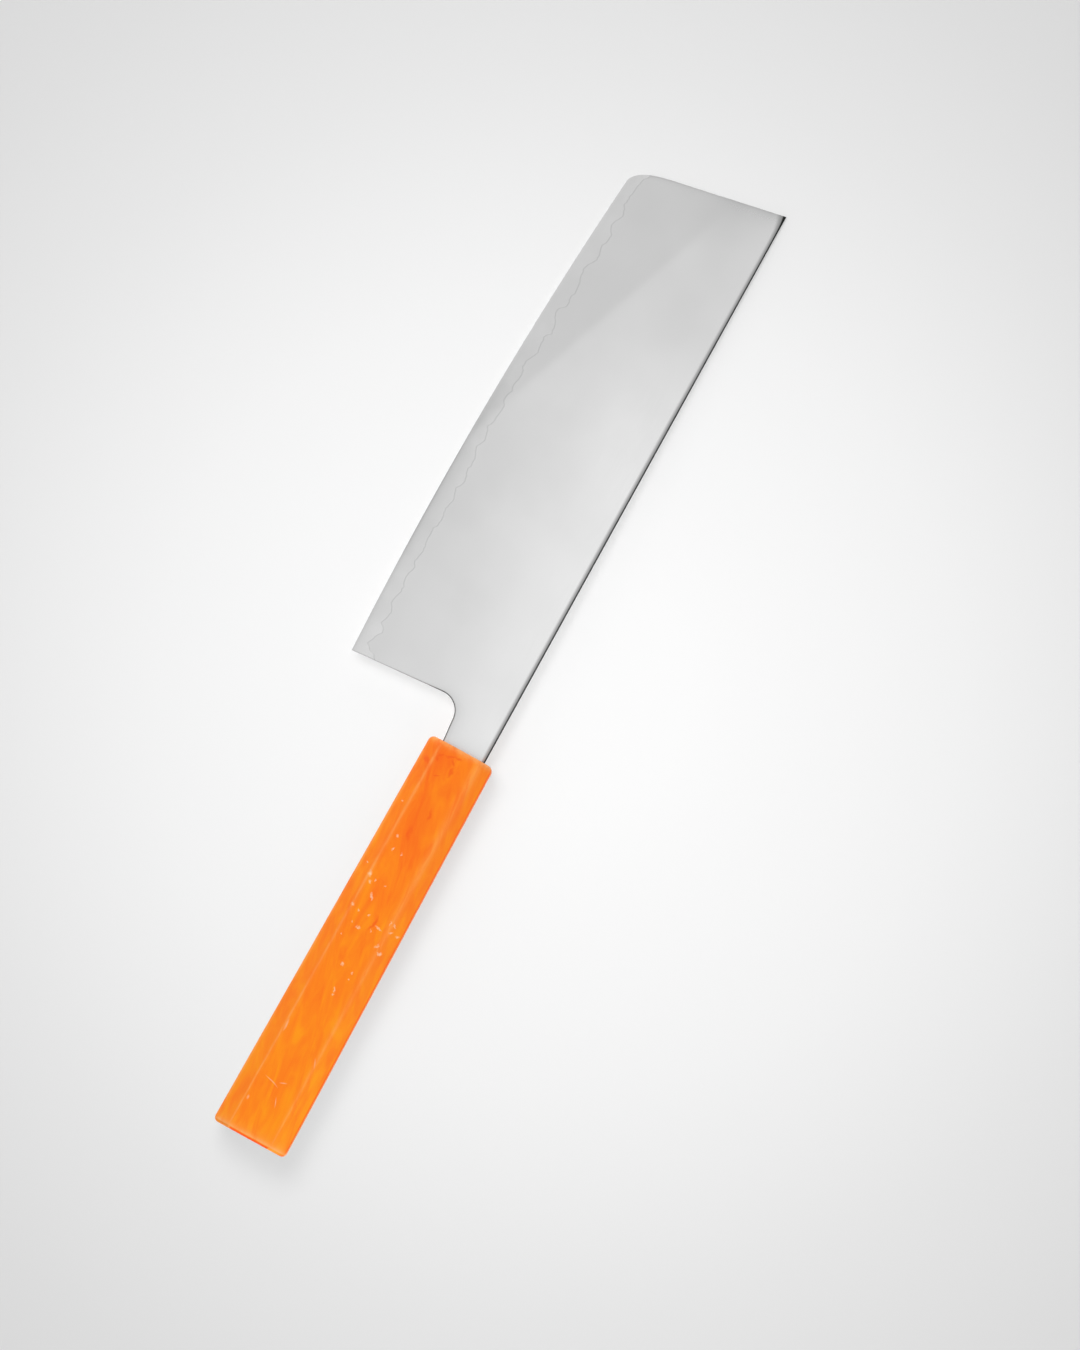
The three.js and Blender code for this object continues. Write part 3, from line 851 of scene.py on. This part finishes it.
drifting = wandering(tree, slanted.outputs[0], 9 * mm, 2, (4 * mm, 4 * mm, 4 * mm))
swirl = add_node(
    tree, "TexNoise", {"Vector": drifting, "Scale": 1 / (3 * mm), "Detail": 4, "Roughness": 0.58}
)
place_along = add_node(tree, "SeparateXYZ", {0: place})
front_tint = {"From Min": -0.158, "From Max": -0.03, "To Min": 0.07, "To Max": -0.07}
to_front = add_node(tree, "MapRange", {"Value": place_along.outputs["X"], **front_tint})
spine_tint = {"From Min": -0.027, "From Max": -0.02, "To Min": 0.08, "To Max": 0}
to_spine = add_node(tree, "MapRange", {"Value": place_along.outputs["Y"], **spine_tint})
tinted = add_node(tree, "Math", {0: to_front.outputs[0], 1: to_spine.outputs[0]}, operation="ADD")
shifted = add_node(tree, "Math", {0: swirl.outputs["Fac"], 1: tinted.outputs[0]}, operation="ADD")
marbled = add_node(
    tree,
    "ValToRGB",
    {"Fac": shifted.outputs[0]},
    stops=((0.24, "#FC7216"), (0.8, "#FF9C14"), (0.38, "#FD7C17"), (0.5, "#FE8517"), (0.64, "#FF9015")),
)
# In millimetres: how high the handle's top facet lies over its axis, and how deep a mark goes.
handle_top = 8
mark_depth = 6


def marks_share(tree, coordinates, marks, strength, full_to=0.3):
    """The share of colour that a set of long marks gives: each is an ellipsoid in knife millimetres with
    its x, y, turn, half length and half width, at full strength up to a share of the way to its border
    and gone there; the strongest holds."""
    share = 0.0
    for x, y, turn, half_length, half_width in marks:
        mark = add_node(
            tree,
            "Mapping",
            {
                "Vector": coordinates,
                "Location": laid_down(np.array([x, y, handle_top]) * mm),
                "Rotation": (0, 0, np.radians(turn)),
                "Scale": np.array([half_length, half_width, mark_depth]) * mm,
            },
            vector_type="TEXTURE",
        )
        away = add_node(tree, "VectorMath", {0: mark.outputs[0]}, operation="LENGTH")
        fading = {"Value": away.outputs["Value"], "From Min": full_to, "To Min": strength, "To Max": 0}
        faded = add_node(tree, "MapRange", fading)
        share = add_node(tree, "Math", {0: faded.outputs[0], 1: share}, operation="MAXIMUM").outputs[0]
    return share


curl_marks = (
    (-7.3, 8, 29, 2.6, 1.2),
    (-3.4, 2.2, -69, 3.2, 0.65),
    (-4.5, 5, -61, 1.8, 0.95),
    (-5.8, 5.5, 29, 1.9, 0.85),
    (-4.8, 0.6, 50, 1.7, 0.75),
    (-7.2, -0.1, -13, 2.4, 0.75),
    (-2.8, -0.4, -76, 1.6, 0.65),
    (-10.2, 3.1, -63, 2, 0.5),
    (-21.7, -0.7, 10, 3, 1),
    (-29, 1.9, 20, 4, 0.9),
    (-57.6, -1.9, -8, 3.6, 0.7),
)
curl_place = wandering(tree, place, 2.6 * mm, 2, (0.7 * mm, 0.7 * mm, 0))
curl = marks_share(tree, curl_place, curl_marks, strength=0.75)
smudge_marks = (
    (-7, 5, 0, 11, 6.5),
    (-5.5, 2.4, 29, 4.4, 3.2),
    (-13.4, -1.6, -40, 5, 3),
    (-24, 1, 10, 14, 5),
)
smudge = marks_share(tree, curl_place, smudge_marks, strength=0.36)
redder = add_node(tree, "Math", {0: curl, 1: smudge}, operation="MAXIMUM")
curled = add_node(
    tree, "Mix", {0: redder.outputs[0], 6: marbled.outputs["Color"], 7: linear("#F65C16")}, data_type="RGBA"
)
# Painted shade deepens the orange by this attribute's share.
handle_shade_values = add_node(tree, "Attribute", attribute_name="painted_handle_shade")
handle_shaded = add_node(
    tree, "Mix", {0: handle_shade_values.outputs["Fac"], 6: curled.outputs[2], 7: linear("#FF5A08")}, data_type="RGBA"
)
# Paler by wear and painted highlight.
wear_and_highlight = add_node(tree, "Attribute", attribute_name="worn_and_highlit")
patchy = add_node(
    tree, "MapRange", {"Value": swirl.outputs["Fac"], "From Min": 0.35, "From Max": 0.6, "To Min": 0.35}
)
worn_and_highlit_share = add_node(tree, "Math", {0: wear_and_highlight.outputs["Fac"], 1: patchy.outputs[0]}, operation="MULTIPLY")
worn_and_highlit_pale = add_node(
    tree, "Mix", {0: worn_and_highlit_share.outputs[0], 6: handle_shaded.outputs[2], 7: linear("#FFA95E")}, data_type="RGBA"
)
fleck_place = wandering(tree, place, 0.8 * mm, 1, (0.45 * mm, 0.45 * mm, 0))
fleck_marks = (
    (-21.4, 8.5, 29, 0.42, 0.28),
    (-31.3, 4.7, 29, 0.75, 0.4),
    (-35.4, 3.9, 29, 0.65, 0.36),
    (-35.7, 0.8, 20, 0.65, 0.33),
    (-42.6, 8.8, 29, 0.42, 0.3),
    (-45, 6.3, 10, 1.25, 0.75),
    (-47.2, 5.2, 29, 0.75, 0.46),
    (-46.2, 4.1, 29, 0.5, 0.25),
    (-46.3, 0.7, 0, 0.45, 0.3),
    (-50.9, 2.6, 26, 1.6, 0.36),
    (-55.5, 6.5, 0, 0.65, 0.55),
    (-56.3, 4.1, 0, 0.42, 0.38),
    (-56.1, 0.8, -61, 0.6, 0.38),
    (-60, 4.1, 0, 0.4, 0.4),
    (-60.8, 1.7, 74, 0.95, 0.5),
    (-59.8, -2, 29, 0.65, 0.3),
    (-58.2, -3.6, 76, 1.4, 0.34),
    (-55.1, -6.1, 0, 0.95, 0.32),
    (-55.3, -7.6, 45, 0.85, 0.32),
    (-57.6, -7.6, -61, 0.8, 0.4),
    (-57.8, -9.9, -61, 0.75, 0.4),
    (-63, -5.9, -40, 0.9, 0.55),
    (-64.7, -7.6, -61, 0.85, 0.65),
    (-64.7, 5.3, 29, 0.4, 0.3),
    (-72.5, 0.7, 29, 0.75, 0.5),
    (-73.5, -3.3, 0, 0.55, 0.4),
    (-75.6, -3.3, 0, 0.4, 0.3),
    (-80.4, -1, 20, 0.95, 0.4),
    (-81.9, -1.3, -61, 0.55, 0.4),
)
fleck = marks_share(tree, fleck_place, fleck_marks, strength=0.6, full_to=0)
scratch_marks = (
    (-113.1, 2, 74, 3.2, 0.24),
    (-112, -1.3, -66, 1.5, 0.24),
    (-102.5, -6.5, 29, 2, 0.2),
    (-118, -2, 15, 2, 0.2),
    (-120.6, 6.3, 0, 1, 0.5),
    (-96, 6.5, 0, 2.6, 0.4),
)
scratch_place = wandering(tree, place, 6 * mm, 0, (0.8 * mm, 0.8 * mm, 0))
scratch = marks_share(tree, scratch_place, scratch_marks, strength=0.3)
pale = add_node(tree, "Math", {0: fleck, 1: scratch}, operation="MAXIMUM")
whitened = add_node(
    tree, "Mix", {0: pale.outputs[0], 6: worn_and_highlit_pale.outputs[2], 7: linear("#FFF2D0")}, data_type="RGBA"
)
tree.links.new(whitened.outputs[2], shader.inputs["Base Color"])
sanded = add_node(tree, "TexNoise", {"Vector": place, "Scale": 1 / (0.6 * mm), "Detail": 2})
relief = add_node(tree, "Bump", {"Height": sanded.outputs["Fac"], "Strength": 0.1, "Distance": 0.03 * mm})
tree.links.new(relief.outputs[0], shader.inputs["Normal"])
shader.inputs["Roughness"].default_value = 0.42
shader.inputs["IOR"].default_value = 1.5
shader.inputs["Specular IOR Level"].default_value = 0.2
handle.data.materials.append(marbled_plastic)
# No orange light from the handle or the bed inside it falls on the paper.
handle.visible_diffuse = False
bed.visible_diffuse = False
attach(handle, "root")
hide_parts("handle")

# Table: a pale matt sheet with a painted pool of light, lightest under the knife and greyer away from it.

table_reach = 4.0
table_mesh = bpy.data.meshes.new("table_sheet")
table_corners = table_reach * np.array([(-1, -1, 0), (1, -1, 0), (1, 1, 0), (-1, 1, 0)])
table_mesh.from_pydata(table_corners, [], [(0, 1, 2, 3)])
table = bpy.data.objects.new("table_sheet", table_mesh)
bpy.context.scene.collection.objects.link(table)

# Backlit matt paper: no gloss, and tones that fall off in rings round the brightest place, a painted pool
# of light. Part of its white is its own, seen by the eye and in the steel, and part takes the light and the
# knife's shadow.
backlit_paper, tree, shader, place = new_material("backlit_matt_paper")
brightest = (0.002, -0.032, 0)
around = add_node(tree, "VectorMath", {0: place, 1: brightest}, operation="DISTANCE")
fading_reach = 0.3
ring_share = add_node(tree, "MapRange", {"Value": around.outputs["Value"], "From Max": fading_reach})
tone = add_node(
    tree,
    "ValToRGB",
    {"Fac": ring_share.outputs[0]},
    stops=(
        (0, "#FEFEFE"),
        (1, "#D3D3D3"),
        (0.13, "#FDFDFD"),
        (0.3, "#F8F8F8"),
        (0.4, "#F4F4F4"),
        (0.5, "#EEEEEE"),
        (0.62, "#E6E6E6"),
        (0.78, "#DDDDDD"),
    ),
)
lit_share = 0.75
lit = add_node(tree, "VectorMath", {0: tone.outputs["Color"], "Scale": lit_share}, operation="SCALE")
tree.links.new(lit.outputs[0], shader.inputs["Base Color"])
shader.inputs["Roughness"].default_value = 1
shader.inputs["Specular IOR Level"].default_value = 0


def seen_directly(tree):
    """1 for what the camera sees, straight, in the steel or through something clear, and 0 for the light
    that falls on things: the largest of the three kinds of ray."""
    seen = add_node(tree, "LightPath")
    share = 0.0
    for ray in ("Is Camera Ray", "Is Glossy Ray", "Is Transmission Ray"):
        share = add_node(tree, "Math", {0: seen.outputs[ray], 1: share}, operation="MAXIMUM").outputs[0]
    return share


own = add_node(tree, "VectorMath", {0: tone.outputs["Color"], "Scale": 1 - lit_share}, operation="SCALE")
tree.links.new(own.outputs[0], shader.inputs["Emission Color"])
tree.links.new(seen_directly(tree), shader.inputs["Emission Strength"])
table_mesh.materials.append(backlit_paper)

# Light: an even white room, a key lamp high on the side of edge and tip, which throws the shadow to the
# spine's side and behind the heel, and three low fill lamps for the handle's facets. No lamp shows in the
# steel; there a broad panel brightens the spine's side, and a nearer one ends in a slanting line.

room = bpy.data.worlds.new("white_room")
room.use_nodes = True
tree = room.node_tree
upward = add_node(tree, "SeparateXYZ", {0: add_node(tree, "TexCoord").outputs["Generated"]})
glow = add_node(
    tree,
    "ValToRGB",
    {"Fac": upward.outputs["Z"]},
    stops=((0, "#E6E6E6"), (1, "#D7D7D7"), (0.35, "#E2E2E2"), (0.7, "#D9D9D9")),
)
seen = add_node(tree, "LightPath")
tone = add_node(
    tree,
    "Mix",
    {0: seen.outputs["Is Camera Ray"], 6: glow.outputs["Color"], 7: linear("#D3D3D3")},
    data_type="RGBA",
)
tree.links.new(tone.outputs[2], tree.nodes["Background"].inputs["Color"])
room_light = 0.547
level = add_node(tree, "MapRange", {"Value": seen_directly(tree), "To Min": room_light, "To Max": 1})
tree.links.new(level.outputs[0], tree.nodes["Background"].inputs["Strength"])
bpy.context.scene.world = room


def soft_lamp(name, place, aim, size, radiance):
    """A square lamp at a place, facing an aim, as bright to look at as the radiance says."""
    lamp_data = bpy.data.lights.new(name, "AREA")
    lamp_data.size = size
    lamp_data.energy = np.pi * radiance * size**2
    lamp = bpy.data.objects.new(name, lamp_data)
    facing = (Vector(aim) - Vector(place)).to_track_quat("-Z", "Y")
    lamp.matrix_world = Matrix.Translation(place) @ facing.to_matrix().to_4x4()
    lamp.visible_camera = False
    bpy.context.scene.collection.objects.link(lamp)
    return lamp


spine_panel = soft_lamp(
    "spine_panel", place=(-0.068, -0.179, 0.6), aim=(-0.068, -0.179, 0), size=0.45, radiance=0.21
)
heel_panel = soft_lamp(
    "heel_panel", place=(0.0415, -0.123, 0.032), aim=(0.0415, -0.123, 0), size=0.3, radiance=0.08
)
heel_panel_turn = np.radians(-20.4)
heel_panel.matrix_world = heel_panel.matrix_world @ Matrix.Rotation(heel_panel_turn, 4, "Z")
for panel in (spine_panel, heel_panel):
    panel.visible_diffuse = False
key_lamp = soft_lamp("key_lamp", place=(0.23, 0.32, 1.17), aim=(0, 0, 0), size=0.5, radiance=5.8)
key_lamp.visible_glossy = False
fill_aim = (-0.03, 0, 0)
fill_size = 0.6
handle_fills = (
    ("spine_fill", (-0.8, -0.85, 0.41), 7.1),
    ("edge_fill", (1.04, 0.5, 0.344), 6.1),
    ("butt_fill", (-0.85, 0.7, 0.34), 1.9),
)
for name, place, radiance in handle_fills:
    fill = soft_lamp(name, place, fill_aim, fill_size, radiance)
    fill.visible_glossy = False
    fill.data.use_shadow = False

# Camera: high above the table with a long lens, turned so that the knife runs up the picture to the right.

picture_height = 0.4015
camera_place = Vector((0.074, -0.04278, 5.0))
picture_centre = Vector((0.0041, -0.02528, 0.009))
picture_up = Vector((0.8757, 0.4829, 0))
camera_data = bpy.data.cameras.new("camera")
camera_data.lens = camera_data.sensor_width * (camera_place - picture_centre).length / picture_height
camera_data.clip_end = 20
camera = bpy.data.objects.new("camera", camera_data)
backwards = (camera_place - picture_centre).normalized()
rightwards = picture_up.cross(backwards).normalized()
turned = Matrix((rightwards, backwards.cross(rightwards), backwards)).transposed().to_4x4()
camera.matrix_world = Matrix.Translation(camera_place) @ turned
bpy.context.scene.collection.objects.link(camera)
bpy.context.scene.camera = camera
bpy.context.scene.view_settings.view_transform = "Standard"
